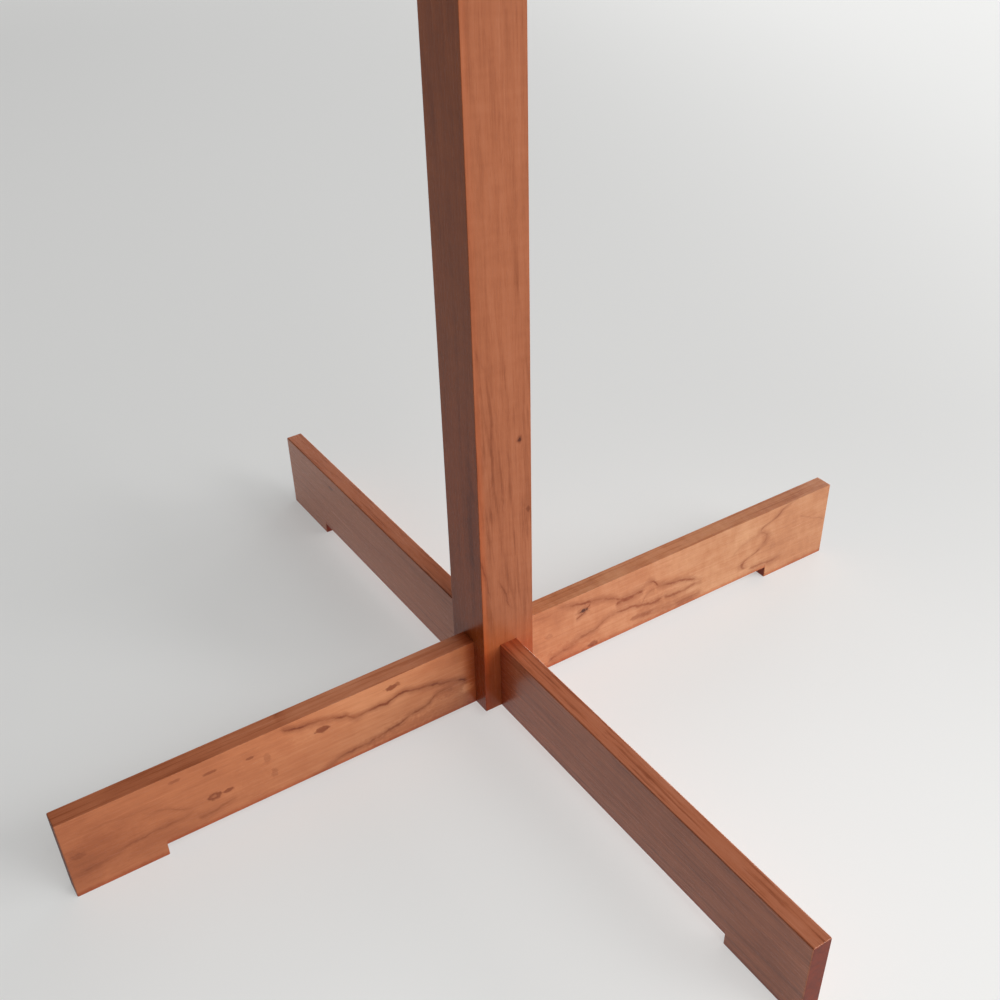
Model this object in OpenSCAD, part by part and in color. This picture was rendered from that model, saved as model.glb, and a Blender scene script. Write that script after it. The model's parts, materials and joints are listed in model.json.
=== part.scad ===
// Mug tree: a square post that straddles two crossed base rails, with round
// pegs in opposite pairs. +Z is up. The origin is on the ground, on the post's
// axis. One rail runs along X and the other along Y.

/* [Base] */
// Length of each rail, from foot end to foot end
rail_span = 300; // [240:1:360]
// Thickness of a rail
rail_t = 6.5; // [5:0.5:9]
// Height of a rail's top edge above the ground
rail_top = 31; // [26:0.5:40]
// Height of the relief under each rail, between its two feet
relief_h = 4.5; // [4:0.5:8]
// Length of each foot
foot_len = 29.3; // [20:0.1:40]

/* [Post] */
// Width of the square post
post_w = 19; // [17:0.5:26]
// Height of the post's top above the ground
post_top = 400; // [385:1:440]
// Chamfer round the post's top end
top_chamfer = 2; // [1:0.5:4]

/* [Pegs] */
// Diameter of a peg
peg_d = 9.5; // [8:0.1:11]
// Length of peg that stands out of the post, along the peg's axis
peg_out = 78; // [60:1:95]
// Depth of a peg's blind bore, along the peg's axis
bore_depth = 7.5; // [5:0.5:7.5]
// Upward tilt of the pegs, in degrees
peg_tilt = 20; // [10:1:25]
// Height of the lowest pair of pegs, where their axes meet the post's face
low_peg_z = 258; // [240:1:270]
// Rise from one pair of pegs to the next
tier_rise = 52; // [40:1:55]
// Length of the rounded part of a peg's free end
tip_len = 3.5; // [2:0.5:4]

/* [Fits] */
// Gap for glue between a peg and its bore, on the radius
glue_gap = 0.05; // [0.02:0.01:0.1]

/* [Hidden] */

// Wood colours: the X rail and the post are darker than the Y rail
DARK_WOOD = "#9a5c40";
POST_WOOD = "#ac6b4e";
LIGHT_WOOD = "#c07f5c";

lap_z = (rail_top + relief_h) / 2; // level where the two rails' laps meet
mid_peg_z = low_peg_z + tier_rise;
high_peg_z = mid_peg_z + tier_rise;
EXTRA = 1; // how far a cutter runs past the face that it opens
$fn = 64;

// Outline of a rail seen from its side: a bar on two feet
module rail_outline() {
    half = rail_span / 2;
    inner = half - foot_len;
    polygon([
        [-half, 0], [-inner, 0], [-inner, relief_h], [inner, relief_h],
        [inner, 0], [half, 0], [half, rail_top], [-half, rail_top]
    ]);
}

// Rail along X, standing on edge
module plain_rail() {
    translate([0, rail_t / 2, 0])
        rotate([90, 0, 0])
            linear_extrude(rail_t) rail_outline();
}

// Cutter for a half-lap, from height z_low to z_high
module lap(z_low, z_high) {
    translate([-rail_t / 2, -rail_t / 2 - EXTRA, z_low])
        cube([rail_t, rail_t + 2 * EXTRA, z_high - z_low]);
}

// Rail along X: its lap is open at the top
module base_rail_x() {
    color(DARK_WOOD)
        difference() {
            plain_rail();
            lap(lap_z, rail_top + EXTRA);
        }
}

// Rail along Y: its lap is open at the bottom
module base_rail_y() {
    color(LIGHT_WOOD)
        rotate([0, 0, 90])
            difference() {
                plain_rail();
                lap(relief_h - EXTRA, lap_z);
            }
}

// Outline of the post seen from one side, with its top corners cut off
module post_outline() {
    half = post_w / 2;
    polygon([
        [-half, relief_h], [half, relief_h], [half, post_top - top_chamfer],
        [half - top_chamfer, post_top], [top_chamfer - half, post_top],
        [-half, post_top - top_chamfer]
    ]);
}

// A wall of that outline, as thick as the post
module post_wall() {
    translate([0, post_w / 2, 0])
        rotate([90, 0, 0])
            linear_extrude(post_w) post_outline();
}

// Cross-shaped slot in the post's foot, which sits over the crossed rails
module cross_slot() {
    for (turn = [0, 90])
        rotate([0, 0, turn])
            translate([-post_w / 2 - EXTRA, -rail_t / 2, relief_h - EXTRA])
                cube([post_w + 2 * EXTRA, rail_t, rail_top - relief_h + EXTRA]);
}

// Puts its children on a peg's axis: +Z runs out of the bore, and the axis
// meets the post's face at height z, on the side that turn names
module on_peg_axis(z, turn) {
    rotate([0, 0, turn])
        translate([post_w / 2, 0, z])
            rotate([0, 90 - peg_tilt, 0])
                children();
}

// Blind bore for one peg
module peg_bore(z, turn) {
    on_peg_axis(z, turn)
        translate([0, 0, -bore_depth])
            cylinder(h = bore_depth + peg_d, d = peg_d + 2 * glue_gap);
}

module post() {
    color(POST_WOOD)
        difference() {
            intersection() {
                post_wall();
                rotate([0, 0, 90]) post_wall();
            }
            cross_slot();
            for (turn = [0, 180]) {
                peg_bore(low_peg_z, turn);
                peg_bore(high_peg_z, turn);
                peg_bore(mid_peg_z, turn + 90);
            }
        }
}

// One peg, from the bottom of its bore to its rounded free end
module peg(z, turn) {
    r = peg_d / 2;
    straight_top = peg_out - tip_len;
    arc_steps = 8;
    color(LIGHT_WOOD)
        on_peg_axis(z, turn)
            rotate_extrude()
                polygon([
                    [0, -bore_depth], [r, -bore_depth],
                    for (i = [0:arc_steps])
                        let (a = 90 * i / arc_steps)
                            [r * cos(a), straight_top + tip_len * sin(a)]
                ]);
}

module peg_low_right() { peg(low_peg_z, 0); }
module peg_low_left() { peg(low_peg_z, 180); }
module peg_mid_back() { peg(mid_peg_z, 90); }
module peg_mid_front() { peg(mid_peg_z, 270); }
module peg_high_right() { peg(high_peg_z, 0); }
module peg_high_left() { peg(high_peg_z, 180); }

base_rail_x();
base_rail_y();
post();
peg_low_right();
peg_low_left();
peg_mid_back();
peg_mid_front();
peg_high_right();
peg_high_left();
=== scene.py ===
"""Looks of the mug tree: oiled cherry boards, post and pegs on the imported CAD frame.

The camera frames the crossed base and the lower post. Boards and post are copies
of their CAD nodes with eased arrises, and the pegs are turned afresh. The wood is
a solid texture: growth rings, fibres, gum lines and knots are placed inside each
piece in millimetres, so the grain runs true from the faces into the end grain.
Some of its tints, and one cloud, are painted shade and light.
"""

import json
from math import cos, pi, radians, sin

import bmesh
import bpy
from mathutils import Matrix, Vector


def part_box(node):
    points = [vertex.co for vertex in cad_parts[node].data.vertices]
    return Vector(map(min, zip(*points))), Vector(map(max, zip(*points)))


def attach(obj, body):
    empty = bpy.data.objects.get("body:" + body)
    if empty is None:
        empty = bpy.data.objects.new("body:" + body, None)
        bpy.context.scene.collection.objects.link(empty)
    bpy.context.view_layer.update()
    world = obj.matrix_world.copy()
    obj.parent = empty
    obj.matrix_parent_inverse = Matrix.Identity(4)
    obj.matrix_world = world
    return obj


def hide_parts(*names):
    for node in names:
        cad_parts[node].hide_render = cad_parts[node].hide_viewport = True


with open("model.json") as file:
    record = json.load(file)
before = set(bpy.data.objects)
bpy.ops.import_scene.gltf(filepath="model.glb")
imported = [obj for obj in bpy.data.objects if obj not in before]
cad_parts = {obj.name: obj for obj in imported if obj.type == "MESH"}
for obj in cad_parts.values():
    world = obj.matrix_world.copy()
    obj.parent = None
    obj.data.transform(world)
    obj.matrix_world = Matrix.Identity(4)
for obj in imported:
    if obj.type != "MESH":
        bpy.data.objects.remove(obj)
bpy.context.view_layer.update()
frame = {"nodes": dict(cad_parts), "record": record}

MM = 0.001
BODY = "root"
X, Y, Z = 0, 1, 2
scene = bpy.context.scene
slots = {part["node"]: part["material_slot"] for part in frame["record"]["subparts"]}

# half widths and levels of the CAD pieces, in mm
post_side_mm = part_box("post")[1].x / MM
post_top_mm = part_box("post")[1].z / MM
rail_side_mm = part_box("base_rail_x")[1].y / MM
rail_top_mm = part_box("base_rail_x")[1].z / MM


# ---------------------------------------------------------------- node graphs

class Graph:
    """One material's nodes, built with short calls. A value is a number or a socket."""

    def __init__(self, name):
        self.material = bpy.data.materials.new(name)
        self.material.use_nodes = True
        self.tree = self.material.node_tree
        self.tree.nodes.clear()

    def node(self, kind, inputs=None, **settings):
        made = self.tree.nodes.new(kind)
        for key, value in settings.items():
            setattr(made, key, value)
        for key, value in (inputs or {}).items():
            self.feed(made.inputs[key], value)
        return made

    def feed(self, socket, value):
        if isinstance(value, bpy.types.NodeSocket):
            self.tree.links.new(value, socket)
        else:
            socket.default_value = value

    def math(self, operation, *values):
        made = self.node("ShaderNodeMath", operation=operation)
        for socket, value in zip(made.inputs, values):
            self.feed(socket, value)
        return made.outputs[0]

    def add(self, a, *rest):
        for b in rest:
            a = self.math("ADD", a, b)
        return a

    def sub(self, a, b):
        return self.math("SUBTRACT", a, b)

    def mul(self, a, *rest):
        for b in rest:
            a = self.math("MULTIPLY", a, b)
        return a

    def most(self, a, *rest):
        for b in rest:
            a = self.math("MAXIMUM", a, b)
        return a

    def length(self, a, b):
        return self.math("SQRT", self.add(self.mul(a, a), self.mul(b, b)))

    def ramp(self, value, low, high, to_low=0.0, to_high=1.0, kind="SMOOTHSTEP"):
        """Value from low..high mapped to to_low..to_high, and held past the ends."""
        inputs = {
            "Value": value, "From Min": low, "From Max": high,
            "To Min": to_low, "To Max": to_high,
        }
        made = self.node("ShaderNodeMapRange", inputs, interpolation_type=kind)
        return made.outputs["Result"]

    def noise(self, x, y, z, detail=2.0, roughness=0.5):
        """Noise from about -1 to 1, with features one unit across."""
        vector = self.node("ShaderNodeCombineXYZ", {"X": x, "Y": y, "Z": z}).outputs[0]
        inputs = {"Vector": vector, "Scale": 1.0, "Detail": detail, "Roughness": roughness}
        made = self.node("ShaderNodeTexNoise", inputs)
        return self.ramp(made.outputs["Fac"], 0.25, 0.75, -1.0, 1.0, kind="LINEAR")

    def curve(self, value, points):
        """A smooth curve through (value, result) points, held past its ends."""
        lows = [min(p[i] for p in points) for i in (0, 1)]
        spans = [max(p[i] for p in points) - lows[i] for i in (0, 1)]
        unit = [tuple((p[i] - lows[i]) / spans[i] for i in (0, 1)) for p in points]
        made = self.node("ShaderNodeFloatCurve")
        line = made.mapping.curves[0]
        line.points[0].location = unit[0]
        line.points[1].location = unit[-1]
        for place in unit[1:-1]:
            line.points.new(*place)
        for point in line.points:
            point.handle_type = "AUTO"
        made.mapping.update()
        share = self.ramp(value, lows[0], lows[0] + spans[0], kind="LINEAR")
        self.feed(made.inputs["Value"], share)
        return self.add(self.mul(made.outputs[0], spans[1]), lows[1])

    def mix(self, factor, a, b, blend="MIX"):
        made = self.node("ShaderNodeMix", data_type="RGBA", blend_type=blend)
        for slot, value in ((0, factor), (6, a), (7, b)):
            self.feed(made.inputs[slot], value)
        return made.outputs[2]

    def color_ramp(self, value, stops):
        made = self.node("ShaderNodeValToRGB", {"Fac": value})
        elements = made.color_ramp.elements
        for extra in stops[2:]:
            elements.new(extra[0])
        for element, (place, color) in zip(elements, sorted(stops)):
            element.position = place
            element.color = (*color, 1)
        return made.outputs["Color"]


# ---------------------------------------------------------------- cherry wood

GUM_TINT = (0.38, 0.19, 0.10, 1)  # what a gum streak leaves of the wood's colour
RED_GUM_TINT = (0.42, 0.19, 0.09, 1)  # the same on the light board's back leg, redder
RED_EDGE_AND_SHADE_TINT = (0.80, 0.50, 0.36, 1)  # darker, redder: along the lower arris, in a band on the back leg, and as painted shade low on the post
BARK = (0.085, 0.018, 0.008, 1)  # bark in a pin knot
END_TINT = (0.40, 0.14, 0.06, 1)  # end grain is darker than a face
POST_END_TINT = (0.56, 0.33, 0.22, 1)  # the post's top, a lighter guess: it is out of view
JOINT_SHADE_TINT = (0.76, 0.38, 0.20, 1)  # painted shade: the front legs are darker and redder beside the post, a contact shadow with reddish bounce light
LOW_POST_BOUNCE_TINT = (1.12, 0.88, 0.64, 1)  # painted bounce light: low on the +X face of the post it is more orange
FRONT_POST_SHADE_TINT = (0.97, 0.80, 0.52, 1)  # painted shade: the -Y face of the post, its shaded side, is darker and browner
RED_LEG_TINT = (1.0, 0.88, 0.78, 1)  # the front leg of the light board is redder
PALE_LEG_TINT = (0.98, 1.07, 1.08, 1)  # and the outer half of the back leg is paler
PAINTED_TOP_LIGHT_TINT = (1.0, 1.10, 1.22, 1)  # painted light: the top of the front-right leg is paler than its sides
FRONT_TOP_SHEEN_TINT = (0.95, 0.93, 1.07, 1)  # painted sheen: the top of the light board's front leg is greyer
BACK_TOP_SHADE_TINT = (1.0, 0.85, 0.80, 1)  # painted shade: the top of its back leg is redder and a little darker
WARM_SIDE_TINT = (1.04, 0.82, 0.64, 1)  # the post's -Y face and the wood close to it
OIL_TINT = (1.0, 0.93, 0.84, 1)  # reflections in the finish are a little warm
RAIL_FOOT_MM = 120.7  # the inner end of a foot, from the middle of the base
RAIL_RELIEF_MM = 4.5  # height of the relief between the feet
FINISH_IOR = 1.48
BUMP_MM = 0.012


class Cherry(Graph):
    """One board's wood. along runs with the grain, up and deep across it, in mm."""

    def __init__(self, name, axes, stops, pith, ring_mm, slope, sway_mm, seed):
        super().__init__(name)
        coords = self.node("ShaderNodeTexCoord")
        split = self.node("ShaderNodeSeparateXYZ", {0: coords.outputs["Object"]})
        turned = self.node("ShaderNodeSeparateXYZ", {0: coords.outputs["Normal"]})
        self.along, self.up, self.deep = (
            self.mul(split.outputs[axis], 1 / MM) for axis in axes
        )
        self.facing_end = self.math("ABSOLUTE", turned.outputs[axes[0]])
        self.facing_sky = self.ramp(turned.outputs[Z], 0.7, 0.95)
        self.stops, self.seed = stops, seed
        self.pith, self.ring_mm = pith, ring_mm
        self.slope, self.sway_mm = slope, sway_mm
        # sway and wobble bend the rings, life fades gum lines in and out, crumbs fray spots
        self.sway = self.stretched(70, 22, 3.7)
        self.wobble = self.stretched(5, 5, 8.1, detail=4.0, roughness=0.6)
        self.life = self.ramp(self.stretched(7, 6, 12.3), -0.7, 0.5, 0.4, 1.0)
        self.crumbs = self.stretched(1.2, 1.0, 5.1)
        self.gum, self.bark, self.shade, self.tints = [], [], [], []
        self.gum_tint, self.end_tint = GUM_TINT, END_TINT

    def stretched(self, long_mm, wide_mm, offset=0.0, lean=0.0, **detail):
        """Noise whose features are long_mm by wide_mm. lean tips them off the grain."""
        up = self.add(self.up, self.mul(self.along, lean)) if lean else self.up
        return self.noise(
            self.add(self.mul(self.along, 1 / long_mm), self.seed + offset),
            self.mul(up, 1 / wide_mm),
            self.mul(self.deep, 1 / wide_mm),
            **detail,
        )

    def late_wood(self):
        """Dark late wood, from 0 to 1, as the rings round the pith cut the faces."""
        up0, deep0 = self.pith
        radius = self.length(self.sub(self.up, up0), self.sub(self.deep, deep0))
        drift = self.mul(self.along, self.slope)
        rough = self.mul(self.wobble, 0.35)
        grown = self.add(radius, self.mul(self.sway, self.sway_mm), drift, rough)
        place = self.math("FRACT", self.mul(grown, 1 / self.ring_mm))
        rise = self.math("POWER", place, 2.0)
        return self.mul(rise, self.ramp(place, 0.80, 1.0, 1.0, 0.0))

    def gum_line(self, points, width, strength, fringe=0.0, fringe_mm=2.5, ends=5, upright=False):
        """A gum line through (along, up) points. An upright one is read up its height.

        fringe darkens the wood on one side of it, out to fringe_mm.
        """
        run, across = self.along, self.up
        if upright:
            run, across = self.up, self.along
            points = [(up, along) for along, up in points]
        across = self.add(across, self.mul(self.wobble, 0.75), self.mul(self.deep, 0.3))
        points = sorted(points)
        first, last = points[0][0], points[-1][0]
        gap = self.sub(across, self.curve(run, points))
        reach = self.math("ABSOLUTE", gap)
        core = self.mul(self.ramp(reach, 0.15 * width, 1.1 * width, 1.0, 0.0), self.life)
        halo = self.ramp(reach, 0.5 * width, 3.0 * width, 0.38, 0.0)
        window = self.mul(
            self.ramp(run, first, first + ends), self.ramp(run, last - ends, last, 1.0, 0.0)
        )
        self.gum.append(self.mul(self.most(core, halo), window, strength))
        if fringe:
            side = self.mul(self.ramp(gap, 0.0, fringe_mm, 1.0, 0.0), self.ramp(gap, -0.3, 0.1))
            self.shade.append(self.mul(side, window, fringe))

    def flow(self, long_mm, wide_mm, offset, lean, share, depth):
        """Wavy darker streaks along the grain, drawn where share is above 0."""
        bands = self.stretched(long_mm, wide_mm, offset, lean=lean, detail=3.0, roughness=0.55)
        self.shade.append(self.mul(self.ramp(bands, 0.0, 0.6, -0.25 * depth, depth), share))

    def oval(self, place, size, wobble=0.3):
        """Distance from a place, as a share of the oval's half size."""
        reach = self.length(
            self.mul(self.sub(self.along, place[0]), 1 / size[0]),
            self.mul(self.sub(self.up, place[1]), 1 / size[1]),
        )
        return self.add(reach, self.mul(self.crumbs, wobble))

    def eye(self, place, size, strength, hollow=False):
        """A small brown eye in the grain; a hollow one is a ring."""
        reach = self.oval(place, size)
        mark = self.ramp(reach, 0.7, 1.2, 1.0, 0.0)
        if hollow:
            mark = self.mul(mark, self.ramp(reach, 0.15, 0.7, 0.35, 1.0))
        self.gum.append(self.mul(mark, strength))

    def patch(self, place, size, lift):
        """A soft cloud that darkens, or that lightens where lift is above 0."""
        cloud = self.ramp(self.oval(place, size, 0.5), 0.2, 1.6, 1.0, 0.0)
        self.shade.append(self.mul(cloud, -lift))

    def pin_knot(self, place, size):
        """A small dark knot with a brown edge."""
        reach = self.oval(place, size, 0.5)
        self.bark.append(self.ramp(reach, 0.5, 1.2, 1.0, 0.0))
        self.gum.append(self.ramp(reach, 0.9, 2.2, 0.5, 0.0))

    def dark_edge(self, foot_mm, relief_mm):
        """Darker, redder along the lower arris, which steps up between the feet."""
        level = self.ramp(self.math("ABSOLUTE", self.along), foot_mm, foot_mm + 0.3, relief_mm, 0.0)
        above = self.add(self.sub(self.up, level), self.mul(self.crumbs, 0.3))
        self.tints.append((self.ramp(above, 0.6, 2.4, 0.9, 0.0), RED_EDGE_AND_SHADE_TINT))

    def finish(
        self, tone, rings=0.08, grain=0.05, fleck=0.2, figure=0.03, cloud=0.055,
        gloss=0.25, sheen=0.5, bump=0.5,
    ):
        """Joins everything into the shader. tone is the board's own lightness, 0 to 1."""
        fine = self.stretched(7, 0.28, 1.3, detail=4.0, roughness=0.65)
        streak = self.stretched(60, 1.1, 6.1, detail=4.0, roughness=0.6)
        mottle = self.stretched(17, 7, 9.4, detail=3.0)
        ripple = self.stretched(2.6, 6.0, 4.6, lean=0.7, detail=2.0)
        tone = self.add(
            tone,
            self.mul(self.late_wood(), -rings),
            self.mul(fine, 0.035),
            self.mul(streak, grain),
            self.mul(mottle, cloud),
            self.mul(ripple, figure),
            *[self.mul(shade, -1.0) for shade in self.shade],
        )
        color = self.color_ramp(tone, self.stops)
        pores = self.ramp(self.stretched(3.5, 0.11, 15.8), 0.35, 0.9)
        flecks = self.ramp(self.stretched(9, 0.55, 21.6, detail=3.0, roughness=0.65), 0.18, 0.75)
        drawn = self.most(0.0, *self.gum)
        drawn = self.mul(drawn, self.ramp(self.facing_sky, 0.0, 1.0, 1.0, 0.25))
        gum = self.most(self.mul(pores, 0.20), self.mul(flecks, fleck), drawn)
        color = self.mix(self.math("MINIMUM", gum, 1.0), color, self.gum_tint, "MULTIPLY")
        for share, tint in self.tints:
            color = self.mix(share, color, tint, "MULTIPLY")
        if self.bark:
            color = self.mix(self.most(*self.bark), color, BARK)
        end = self.ramp(self.facing_end, 0.75, 0.98)
        color = self.mix(end, color, self.end_tint, "MULTIPLY")
        relief = self.add(self.mul(fine, 0.5), self.mul(pores, -1.2), self.mul(streak, 0.5))
        depth = {"Height": relief, "Distance": BUMP_MM * MM, "Strength": bump}
        ridges = self.node("ShaderNodeBump", depth)
        rough = self.add(gloss, self.mul(streak, 0.03), self.mul(pores, 0.10), self.mul(end, 0.35))
        inputs = {
            "Base Color": color, "Roughness": rough, "Normal": ridges.outputs[0],
            "IOR": FINISH_IOR, "Specular IOR Level": sheen, "Specular Tint": OIL_TINT,
        }
        shader = self.node("ShaderNodeBsdfPrincipled", inputs)
        out = self.node("ShaderNodeOutputMaterial")
        self.feed(out.inputs["Surface"], shader.outputs[0])
        return self.material


# each wood's colours in linear light, from the darkest to the palest
LIGHT_CHERRY = [
    (0.0, (0.13, 0.036, 0.014)), (0.35, (0.34, 0.108, 0.044)),
    (0.6, (0.50, 0.188, 0.084)), (1.0, (0.72, 0.36, 0.19)),
]
DARK_CHERRY = [
    (0.0, (0.11, 0.023, 0.008)), (0.35, (0.28, 0.070, 0.028)),
    (0.6, (0.44, 0.128, 0.055)), (1.0, (0.58, 0.21, 0.11)),
]
POST_CHERRY = [
    (0.0, (0.08, 0.018, 0.006)), (0.35, (0.21, 0.055, 0.021)),
    (0.6, (0.345, 0.109, 0.048)), (1.0, (0.48, 0.19, 0.10)),
]


def light_rail_wood():
    """Flat-sawn board along Y, with wandering gum lines, eyes and a pin knot."""
    w = Cherry(
        "cherry_light_rail", (Y, Z, X), LIGHT_CHERRY,
        pith=(9, -70), ring_mm=4.2, seed=2.0, slope=0.05, sway_mm=3.5,
    )
    w.dark_edge(RAIL_FOOT_MM, RAIL_RELIEF_MM)
    w.gum_tint = w.mix(w.ramp(w.along, -10, 20), GUM_TINT, RED_GUM_TINT)
    w.tints.append((w.ramp(w.along, 40, -20), RED_LEG_TINT))
    w.tints.append((w.ramp(w.along, 50, 100), PALE_LEG_TINT))
    # painted sheen on the top of the front leg
    w.tints.append((w.mul(w.facing_sky, w.ramp(w.along, 20, -20)), FRONT_TOP_SHEEN_TINT))
    # painted shade on the top of the back leg
    w.tints.append((w.mul(w.facing_sky, w.ramp(w.along, 40, 80)), BACK_TOP_SHADE_TINT))
    # lightness along the board: partly the wood's tone, partly painted shade that darkens the front
    # leg toward its outer end
    lightness = [
        (-152, -0.20), (-136, -0.17), (-123, -0.13), (-93, -0.06), (-75, -0.02), (-53, 0.07),
        (-36, 0.07), (-12, -0.02), (26, -0.01), (51, 0.02), (98, 0.08), (133, -0.02), (152, 0.0),
    ]
    w.shade.append(w.mul(w.curve(w.along, lightness), -1.0))
    # front leg: the two long lines, then the fork and the small marks of its outer half
    w.gum_line(
        [(-80, 31.5), (-76, 29.2), (-65, 27), (-57.5, 24.7), (-54.5, 22.6), (-47, 22.9),
         (-42.5, 22.7), (-38, 24.2), (-33.5, 23.2), (-22, 20.4), (-12, 17)],
        0.95, 0.95, fringe=0.12, ends=2,
    )
    w.gum_line(
        [(-73, 4), (-68, 6.2), (-64, 7.9), (-46, 10.2), (-38, 11.6), (-34, 13.2), (-28, 14.2),
         (-24.5, 16.8), (-18, 17.6)],
        0.85, 0.85, ends=1,
    )
    w.gum_line([(-150, 9), (-131, 12.3), (-124, 13.3), (-115, 13.6), (-108.5, 16)], 0.7, 0.5)
    w.gum_line([(-127, 22.5), (-119, 19.8), (-114, 17.3), (-109, 15)], 0.6, 0.4)
    w.gum_line([(-110.5, 13.5), (-107, 9.9), (-103, 11), (-96, 11.9)], 0.9, 0.5, ends=2)
    w.gum_line([(-152, 26), (-138, 25), (-126, 23.5), (-116, 21.5)], 1.4, 0.2)
    w.eye((-65.7, 22.7), (2.6, 1.3), 0.85)
    w.eye((-103.5, 15.3), (2.4, 1.5), 0.8, hollow=True)
    w.eye((-98.9, 15.3), (1.9, 0.8), 0.75)
    w.eye((-40.5, 27.2), (2.6, 1.0), 0.85)
    w.eye((-38.5, 27.6), (1.0, 0.9), 0.6)
    w.eye((-103.5, 25.5), (2.2, 0.6), 0.6)
    w.eye((-90.4, 24.2), (1.2, 0.7), 0.6)
    w.eye((-114, 28.2), (1.8, 0.7), 0.5)
    w.eye((-85, 21), (1.1, 2.2), 0.3)
    w.eye((-83.5, 14), (1.2, 1.8), 0.3)
    w.eye((-146, 16), (2.5, 1.2), 0.35)
    # back leg: the looping figure, then the tall line near its outer end
    w.gum_line(
        [(22, 31), (31.5, 28.2), (46.5, 24.6), (50, 22.4), (53, 21.1), (60, 21.4),
         (63.5, 24), (68.5, 20.3), (78.5, 18.1), (83.5, 16.6), (87.5, 13.6), (90, 10)],
        1.0, 0.9, fringe=0.05,
    )
    w.gum_line([(48.5, 20.4), (53, 20.8), (57, 20.9), (62, 22.6)], 1.5, 1.0, ends=1.5)
    w.gum_line([(31.5, 21.6), (34, 22.6), (36.5, 24.4), (38.5, 26.2)], 0.8, 0.9, ends=1)
    w.gum_line(
        [(19, 6), (23.5, 9.7), (28.5, 10.6), (33.5, 12.9), (40, 13.2), (43.5, 15.6),
         (49, 16.9), (58.5, 15.9), (68.5, 13.7), (72, 16)],
        1.0, 0.8, ends=3,
    )
    w.gum_line([(59, 15), (61.5, 16.5), (63, 18.8), (67, 19.2)], 1.2, 0.5, ends=1)
    w.gum_line([(57, 9.6), (64.5, 10.1), (70.5, 8.8), (78.5, 7.8), (91, 10)], 1.8, 0.65)
    w.gum_line([(70, 15.5), (76, 13.4), (84, 13.2), (90, 13.8)], 1.2, 0.7, ends=2)
    w.gum_line(
        [(140, 31.5), (128.5, 29.6), (125, 27), (117.5, 23.7), (120.5, 20.8), (120.5, 18.4),
         (116.5, 14.8), (109.5, 11.6), (111.5, 8.2)],
        1.2, 0.75, upright=True, ends=1,
    )
    w.gum_line([(111, 7.8), (118.5, 8.5), (124.5, 7.9), (130, 8.9)], 1.1, 0.65, ends=3)
    w.gum_line([(102, 17), (104.5, 19.7), (112.5, 22.7), (118, 22.7)], 1.0, 0.25, ends=3)
    w.gum_line([(135, 23.4), (147.5, 17.7), (150, 16.5)], 0.3, 0.35, ends=2)
    w.gum_line([(12, 29.5), (20, 29), (30, 29.8)], 1.0, 0.35, ends=3)
    w.eye((58.5, 9.6), (2.4, 1.2), 0.5)
    w.eye((39.5, 6.4), (2.2, 1.1), 0.65)
    w.eye((20.5, 18.7), (1.6, 1.1), 0.3, hollow=True)
    w.pin_knot((35.0, 23.4), (1.7, 1.2))
    # clouds: under the long lines by the post, between the forks, and in the loop
    w.patch((-28, 7.5), (20, 4.5), -0.10)
    w.patch((-37, 7), (11, 3.5), -0.12)
    w.patch((-20, 15), (6, 2), -0.10)
    # painted highlight: a light spot on the front leg beside the post
    w.patch((-12.8, 12.8), (2.2, 1.7), 0.45)
    w.patch((-90, 17), (5, 10), -0.06)
    w.patch((-140, 14), (12, 8), -0.06)
    w.patch((72, 10), (14, 4), -0.12)
    w.patch((84, 10.6), (3.8, 1.2), 0.16)
    w.patch((48, 11), (9, 3), 0.07)
    w.patch((-72, 24), (5, 2.5), 0.10)
    # painted shade: the front leg is darker and redder beside the post
    painted_joint_shade = w.mul(w.ramp(w.along, -16, -9.5, 0.0, 0.85), w.ramp(w.along, -9.0, -8.0, 1.0, 0.0))
    w.tints.append((painted_joint_shade, JOINT_SHADE_TINT))
    w.tints.append((w.ramp(w.oval((27, 7), (16, 5), 0.5), 0.3, 1.3, 0.45, 0.0), RED_EDGE_AND_SHADE_TINT))
    w.flow(40, 1.0, 31.4, 0.0, w.facing_sky, 0.13)
    return w


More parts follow.
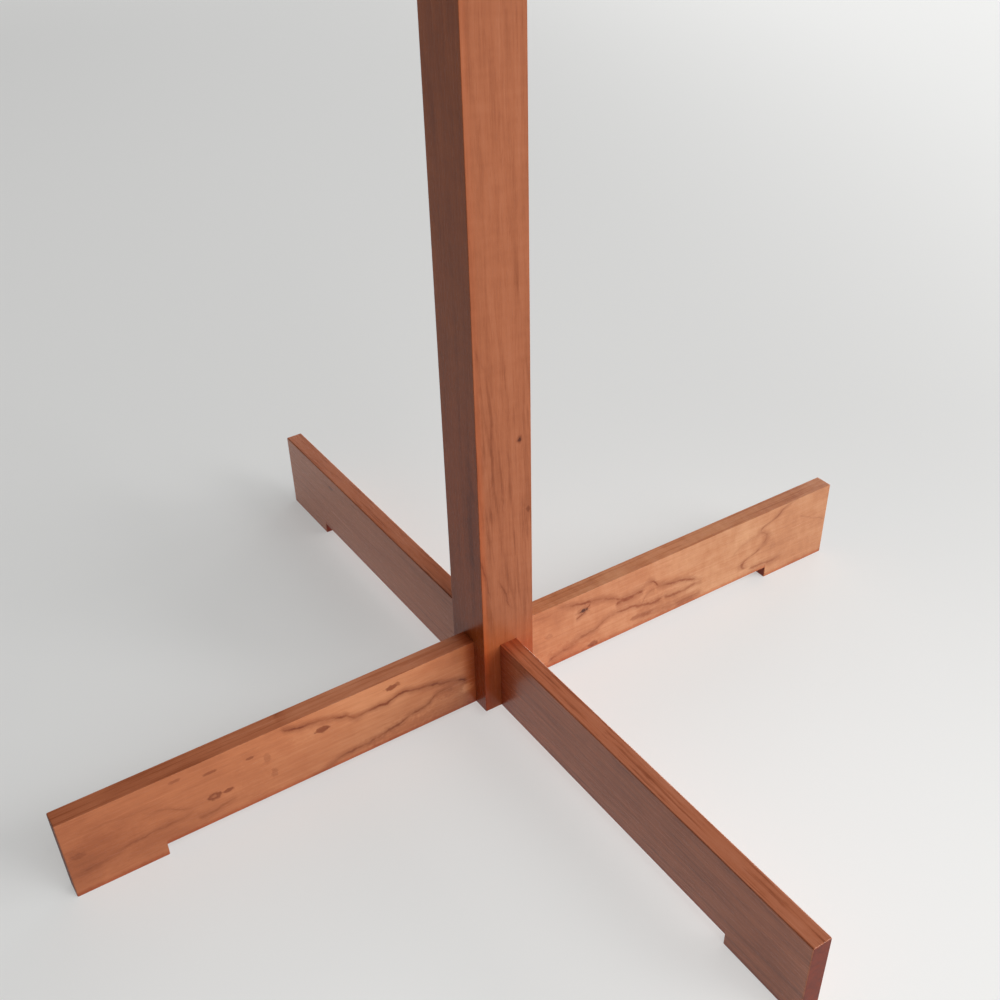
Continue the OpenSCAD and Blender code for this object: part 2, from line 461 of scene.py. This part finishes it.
def dark_rail_wood():
    """Straight-grained board along X, close to quarter-sawn, with three small eyes."""
    w = Cherry(
        "cherry_dark_rail", (X, Z, Y), DARK_CHERRY,
        pith=(-95, 25), ring_mm=2.6, seed=11.0, slope=0.006, sway_mm=1.2,
    )
    w.dark_edge(RAIL_FOOT_MM, RAIL_RELIEF_MM)
    # lightness along the board: partly the wood's tone, partly painted light and shade, lighter on
    # the back-left leg and darker on the front-right
    lightness = [(-152, 0.21), (-130, 0.19), (-50, 0.06), (10, -0.07), (60, -0.13), (152, -0.16)]
    w.shade.append(w.mul(w.curve(w.along, lightness), -1.0))
    # painted light: the top of the front-right leg is lighter and paler
    pale = w.mul(w.facing_sky, w.ramp(w.along, 0, 90))
    w.shade.append(w.mul(pale, -0.17))
    # painted shade: the tops darker, most at the back-left leg's outer end
    w.shade.append(w.mul(w.facing_sky, w.ramp(w.along, -110, -60, 0.14, 0.02)))
    w.flow(38, 1.0, 31.4, 0.0, w.facing_sky, 0.20)
    w.flow(45, 2.2, 27.7, -0.03, w.sub(1.0, w.facing_sky), 0.10)
    w.gum_line([(58, 29.6), (95, 28.4), (120, 28.8), (148, 27)], 0.9, 0.45, ends=12)
    w.gum_line([(25, 20), (60, 17.8), (95, 17), (132, 13.5)], 0.7, 0.35, ends=12)
    w.gum_line([(45, 11.5), (85, 9.8), (118, 10.6)], 0.7, 0.3, ends=12)
    w.gum_line([(20, 25.5), (50, 23.2), (80, 23.8), (104, 22)], 0.5, 0.3, ends=12)
    w.patch((141, 14), (9, 9), -0.08)
    # painted light on the top of the front-right leg
    w.tints.append((pale, PAINTED_TOP_LIGHT_TINT))
    # painted shade: the front-right leg is darker and redder beside the post
    painted_joint_shade = w.mul(w.ramp(w.along, 9.5, 20, 0.85, 0.0), w.ramp(w.along, 8.0, 9.0))
    w.tints.append((painted_joint_shade, JOINT_SHADE_TINT))
    w.eye((-111.8, 26.6), (1.8, 0.7), 0.8)
    w.eye((54, 24.7), (3.2, 0.5), 0.35)
    w.eye((-26, 25.8), (2.0, 0.5), 0.35)
    return w


def post_wood():
    """Upright rift-sawn post, with thin gum lines, a pin knot and an eye."""
    w = Cherry(
        "cherry_post", (Z, Y, X), POST_CHERRY,
        pith=(-42, -30), ring_mm=3.4, seed=23.0, slope=0.02, sway_mm=2.2,
    )
    w.end_tint = POST_END_TINT
    w.gum_line([(50, -3.2), (61, -5.2), (71, -8)], 0.5, 0.5)
    w.gum_line([(60, -7.4), (76, -8.3), (90, -7.9), (104, -8.2)], 0.6, 0.45)
    w.gum_line([(78, -2.0), (88, -2.6), (98, -1.2), (108, -1.6), (118, -1.0)], 0.8, 0.35)
    w.gum_line([(92, -5.6), (104, -4.6), (118, -5.4), (130, -5.0)], 0.6, 0.28)
    w.gum_line([(127, -1), (134, -4), (142, -7.5)], 0.6, 0.25)
    w.gum_line([(64, 2.6), (72, 1.2), (84, 1.9), (96, 0.8)], 0.5, 0.28)
    w.gum_line([(42, 8.6), (44.6, 4.2), (48, 3.1), (53.5, 1.4), (59, -0.2)], 0.5, 0.5)
    w.pin_knot((105.5, 5.4), (0.95, 0.6))
    figured = w.mul(w.ramp(w.along, 30, 50), w.ramp(w.along, 120, 170, 1.0, 0.25))
    w.flow(32, 2.0, 44.1, 0.06, w.mul(figured, w.ramp(w.deep, 9.0, 9.4)), 0.11)
    # a dark streak low on the -Y face, then a tint of that face, painted shade on it, and painted
    # shade and bounce light low on the post
    across = w.math("ABSOLUTE", w.sub(w.deep, 4.6))
    rise = w.mul(w.ramp(w.along, 38, 46), w.ramp(w.along, 78, 92, 1.0, 0.0))
    beside = w.ramp(w.up, -8.5, -7, 1.0, 0.0)
    w.shade.append(w.mul(w.ramp(across, 0.6, 1.8, 0.14, 0.0), rise, beside))
    low = w.ramp(w.along, 90, 140, 0.95, 0.35)
    w.tints.append((w.mul(low, w.ramp(w.up, -8.9, -6.6, 1.0, 0.0)), WARM_SIDE_TINT))
    # painted shade: the -Y face darker
    w.shade.append(w.ramp(w.up, -9.45, -9.2, 0.08, 0.0))
    # painted shade: darker and redder below the rails' tops
    w.tints.append((w.ramp(w.along, 26, 32, 0.5, 0.0), RED_EDGE_AND_SHADE_TINT))
    # painted bounce light: more orange low on the +X face
    foot = w.mul(w.ramp(w.along, 28, 44, 1.0, 0.0), w.ramp(w.deep, 9.0, 9.4))
    w.tints.append((foot, LOW_POST_BOUNCE_TINT))
    # painted shade: the -Y face browner
    w.tints.append((w.ramp(w.up, -9.45, -9.2, 1.0, 0.0), FRONT_POST_SHADE_TINT))
    w.eye((80, 8.2), (1.2, 0.7), 0.5)
    return w


def peg_wood():
    """Plain straight-grained wood for the turned pegs."""
    return Cherry(
        "cherry_peg", (Z, X, Y), LIGHT_CHERRY,
        pith=(14, 22), ring_mm=2.4, seed=37.0, slope=0.01, sway_mm=1.0,
    )


def make_woods():
    """The finished material of each slot."""
    light = light_rail_wood()
    curl = light.ramp(light.along, -40, 20, 0.015, 0.06)  # the back leg is curlier
    return {
        "rail_light": light.finish(
            tone=0.65, rings=0.07, fleck=0.14, figure=curl, cloud=0.09, sheen=0.42
        ),
        "rail_dark": dark_rail_wood().finish(
            tone=0.66, rings=0.07, grain=0.13, fleck=0.38, figure=0.015, sheen=0.46, bump=0.3
        ),
        "post_wood": post_wood().finish(
            tone=0.60, rings=0.08, grain=0.06, fleck=0.16, figure=0.03, sheen=0.22
        ),
        "peg_wood": peg_wood().finish(tone=0.58, fleck=0.08, gloss=0.36, bump=0.04),
    }


woods = make_woods()


# ---------------------------------------------------------------- pieces

ARRIS_MM = 0.4  # width of an eased outer edge
SLOT_ARRIS_MM = 0.1  # an edge that closes on a neighbour stays nearly sharp
SLACK_MM = 0.1  # how near to a face an edge counts as lying on it
TOP_ZONE_MM = 3  # the post's top and its chamfer lie in this height
RAIL_TOP_SLACK_MM = 1  # how far off the rails' tops counts as above or below them
MERGE_DISTANCE = 1e-6
FLAT_TURN = radians(0.5)  # faces that meet flatter than this become one
SHARP_TURN = radians(30)  # an edge that turns less is left alone
SAME_WAY = 0.9999  # the cosine from which two directions count as one
BEVEL_SEGMENTS = 3
DOME_SHARE = 0.75  # height of a peg's dome, as a share of its radius
DOME_STEPS = 14
PEG_SIDES = 56
PEG_ROOT_EASE_MM = 0.3  # chamfer of the peg's end in its bore


def dress(piece, node):
    """Gives a piece its wood and its body, and hides the CAD node it stands for."""
    slot = slots[node]
    piece.data.materials.clear()
    piece.data.materials.append(woods[slot])
    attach(piece, BODY)
    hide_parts(node)


def linked(name, mesh):
    piece = bpy.data.objects.new(name, mesh)
    scene.collection.objects.link(piece)
    return piece


def board(node, is_joint):
    """A copy of a CAD node with eased arrises. is_joint(point) tells closed edges.

    Inner corners stay sharp, because a bevel there stood out of the node, and so do the
    rims of bores. Three bevel corners at the post's foot still stand 0.05 mm out.
    """
    shape = bmesh.new()
    shape.from_mesh(frame["nodes"][node].data)
    bmesh.ops.remove_doubles(shape, verts=shape.verts, dist=MERGE_DISTANCE)
    bmesh.ops.dissolve_limit(
        shape, angle_limit=FLAT_TURN, verts=shape.verts, edges=shape.edges
    )
    weight = shape.edges.layers.float.new("bevel_weight_edge")
    for edge in shape.edges:
        if len(edge.link_faces) != 2 or edge.calc_face_angle() < SHARP_TURN:
            continue
        middle = (edge.verts[0].co + edge.verts[1].co) / 2 / MM
        closed = is_joint(middle)
        if not edge.is_convex or (closed and middle.z > rail_top_mm + RAIL_TOP_SLACK_MM):
            continue
        edge[weight] = SLOT_ARRIS_MM / ARRIS_MM if closed else 1.0
    mesh = bpy.data.meshes.new("wood_" + node)
    shape.to_mesh(mesh)
    shape.free()
    piece = linked("wood_" + node, mesh)
    ease = piece.modifiers.new("ease", "BEVEL")
    ease.width = ARRIS_MM * MM
    ease.segments = BEVEL_SEGMENTS
    ease.limit_method = "WEIGHT"
    ease.harden_normals = True
    dress(piece, node)


def peg(node):
    """A peg turned about the axis of its CAD node, with a domed end.

    The node's flat end, at the bottom of the bore, gives the axis and the middle. Both
    are very slightly off, and the radius comes out up to 0.02 mm large.
    """
    cad = frame["nodes"][node].data
    points = [v.co.copy() for v in cad.vertices]
    outward = sum(points, Vector()) / len(points)
    outward.z = 0
    axis = -min((face.normal for face in cad.polygons), key=outward.dot)
    disc = [face for face in cad.polygons if face.normal.dot(axis) < -SAME_WAY]
    rim = [points[i] for face in disc for i in face.vertices]
    lows = [min(point[i] for point in rim) for i in range(3)]
    highs = [max(point[i] for point in rim) for i in range(3)]
    centre = (Vector(lows) + Vector(highs)) / 2
    radius = max((p - centre).cross(axis).length for p in points)
    root, tip = 0.0, max((p - centre).dot(axis) for p in points)
    dome = DOME_SHARE * radius
    ease = PEG_ROOT_EASE_MM * MM
    steps, sides = DOME_STEPS, PEG_SIDES
    profile = [(root, radius - ease), (root + ease, radius)]
    profile += [
        (tip - dome + dome * sin(0.5 * pi * i / steps), radius * cos(0.5 * pi * i / steps))
        for i in range(steps)
    ]
    shape = bmesh.new()
    rounds = [
        [
            shape.verts.new((r * cos(2 * pi * k / sides), r * sin(2 * pi * k / sides), h))
            for k in range(sides)
        ]
        for h, r in profile
    ]
    pole = shape.verts.new((0, 0, tip))
    for low, high in zip(rounds, rounds[1:]):
        for k in range(sides):
            n = (k + 1) % sides
            shape.faces.new((low[k], low[n], high[n], high[k]))
    for k in range(sides):
        shape.faces.new((rounds[-1][k], rounds[-1][(k + 1) % sides], pole))
    for face in shape.faces:
        face.smooth = True
    shape.faces.new(list(reversed(rounds[0])))
    mesh = bpy.data.meshes.new("wood_" + node)
    shape.to_mesh(mesh)
    shape.free()
    piece = linked("wood_" + node, mesh)
    turn = axis.to_track_quat("Z", "Y").to_matrix().to_4x4()
    piece.matrix_world = Matrix.Translation(centre) @ turn
    dress(piece, node)


def in_post(point):
    """True for a point, in mm, inside the post's outline as seen from above."""
    return max(abs(point.x), abs(point.y)) < post_side_mm + SLACK_MM


def on_slot_or_bore(point):
    """True for a point of the post, in mm, on an edge that closes on a rail or a peg."""
    corner = post_side_mm - SLACK_MM
    beside_rail = rail_side_mm + SLACK_MM
    outer = abs(point.x) > corner and abs(point.y) > corner
    low = point.z < rail_top_mm - RAIL_TOP_SLACK_MM
    foot = low and min(abs(point.x), abs(point.y)) > beside_rail
    top = point.z > post_top_mm - TOP_ZONE_MM
    return not (outer or foot or top)


for rail in ("base_rail_x", "base_rail_y"):
    board(rail, in_post)
board("post", on_slot_or_bore)
for node in sorted(frame["nodes"]):
    if node.startswith("peg_"):
        peg(node)


# ---------------------------------------------------------------- floor, lights, camera

BACKDROP = 0.72  # brightness of the far floor and of the world behind it
BACKDROP_COLOR = (0.997, 1, 0.985, 1)
WORLD_LIGHT = 0.04  # strength of the world's light on the scene
FLOOR_SIZE = 30
FLOOR_ALBEDO = 0.45
FLOOR_BLUE = 0.99  # the paint's blue, as a share of its red and green
FLOOR_GLOW = 0.33
POOL_PLACE, POOL_REACH, POOL_GLOW = (0.20, 0.01), (0.02, 0.38), 0.17
BACK_LEAN, BACK_REACH, BACK_GLOW = 0.3, (0.15, 0.6), 0.12
FADE_REACH = (0.95, 1.9)  # where the paint gives way to the backdrop, from the middle
LAMP_DISTANCE, LAMP_SIZE, LAMP_AIM_HEIGHT = 2.2, 1.1, 0.05
# name: azimuth and elevation in degrees, then power in watts
LAMPS = {
    "window_back": (90, 10, 15),
    "window_right": (60, 10, 28),
    "window_left": (122, 10, 16),
    "wall_left": (150, 11, 6),
    "high_right": (30, 31, 21),
    "high_front": (0, 50, 15),
    "fill_left": (240, 12, 2),
}
CAMERA_PLACE = (0.2679, -0.1670, 0.2941)
CAMERA_TURN = (52.0, 2.47, 58.06)  # in degrees
CAMERA_LENS, CAMERA_SENSOR = 44.7, 36
CAMERA_SHIFT = (0.0417, 0.0875)  # the photograph's middle is off the lens's axis
CAMERA_CLIP = 0.01


def floor():
    """A pale floor that glows a little and runs out into an even backdrop.

    The glow has a soft pool at the front right and rises to the back right. Further
    out the paint fades away, so the floor meets the backdrop without a hard edge.
    """
    bpy.ops.mesh.primitive_plane_add(size=FLOOR_SIZE)
    ground = bpy.context.object
    ground.name = "floor"
    g = Graph("floor_paint")
    place = g.node("ShaderNodeSeparateXYZ", {0: g.node("ShaderNodeTexCoord").outputs["Object"]})
    x, y = place.outputs[0], place.outputs[1]
    from_pool = g.length(g.sub(x, POOL_PLACE[0]), g.sub(y, POOL_PLACE[1]))
    pool = g.ramp(from_pool, *POOL_REACH, POOL_GLOW, 0.0)
    back = g.ramp(g.add(y, g.mul(x, BACK_LEAN)), *BACK_REACH, 0.0, BACK_GLOW)
    near = g.ramp(g.length(x, y), *FADE_REACH, 1.0, 0.0)
    near_glow = g.mul(g.add(FLOOR_GLOW, pool, back), near)
    strength = g.add(near_glow, g.mul(g.sub(1.0, near), BACKDROP))
    shade = g.mul(near, FLOOR_ALBEDO)
    blue = g.mul(shade, FLOOR_BLUE)
    color = g.node("ShaderNodeCombineColor", {0: shade, 1: shade, 2: blue})
    paint = g.node("ShaderNodeBsdfDiffuse", {"Color": color.outputs[0]})
    glow = g.node("ShaderNodeEmission", {"Color": BACKDROP_COLOR, "Strength": strength})
    both = g.node("ShaderNodeAddShader", {0: paint.outputs[0], 1: glow.outputs[0]})
    out = g.node("ShaderNodeOutputMaterial")
    g.feed(out.inputs["Surface"], both.outputs[0])
    ground.data.materials.append(g.material)


def area_light(name, azimuth, elevation, power):
    """A round lamp aimed just above the base. Azimuth 0 is the +X side and 90 the +Y side."""
    data = bpy.data.lights.new(name, "AREA")
    data.shape = "DISK"
    data.size = LAMP_SIZE
    data.energy = power
    lamp = linked(name, data)
    a, e = radians(azimuth), radians(elevation)
    way = Vector((cos(a) * cos(e), sin(a) * cos(e), sin(e)))
    lamp.location = way * LAMP_DISTANCE + Vector((0, 0, LAMP_AIM_HEIGHT))
    lamp.rotation_euler = way.to_track_quat("Z", "Y").to_euler()


def studio_world():
    """A backdrop seen as pale grey, which sheds almost no light of its own."""
    world = bpy.data.worlds.new("studio")
    scene.world = world
    world.use_nodes = True
    tree = world.node_tree
    tree.nodes.clear()
    seen = tree.nodes.new("ShaderNodeBackground")
    seen.inputs["Color"].default_value = BACKDROP_COLOR
    seen.inputs["Strength"].default_value = BACKDROP
    shed = tree.nodes.new("ShaderNodeBackground")
    shed.inputs["Strength"].default_value = WORLD_LIGHT
    path = tree.nodes.new("ShaderNodeLightPath")
    mix = tree.nodes.new("ShaderNodeMixShader")
    out = tree.nodes.new("ShaderNodeOutputWorld")
    tree.links.new(path.outputs["Is Camera Ray"], mix.inputs[0])
    tree.links.new(shed.outputs[0], mix.inputs[1])
    tree.links.new(seen.outputs[0], mix.inputs[2])
    tree.links.new(mix.outputs[0], out.inputs["Surface"])


def aim_camera():
    """The camera solved from the photograph's edges and corners."""
    data = bpy.data.cameras.new("camera")
    data.sensor_width = CAMERA_SENSOR
    data.lens = CAMERA_LENS
    data.shift_x, data.shift_y = CAMERA_SHIFT
    data.clip_start = CAMERA_CLIP
    camera = linked("camera", data)
    camera.location = CAMERA_PLACE
    camera.rotation_euler = [radians(angle) for angle in CAMERA_TURN]
    scene.camera = camera


floor()
for name, (azimuth, elevation, power) in LAMPS.items():
    area_light(name, azimuth, elevation, power)
studio_world()
aim_camera()
scene.view_settings.view_transform = "Standard"
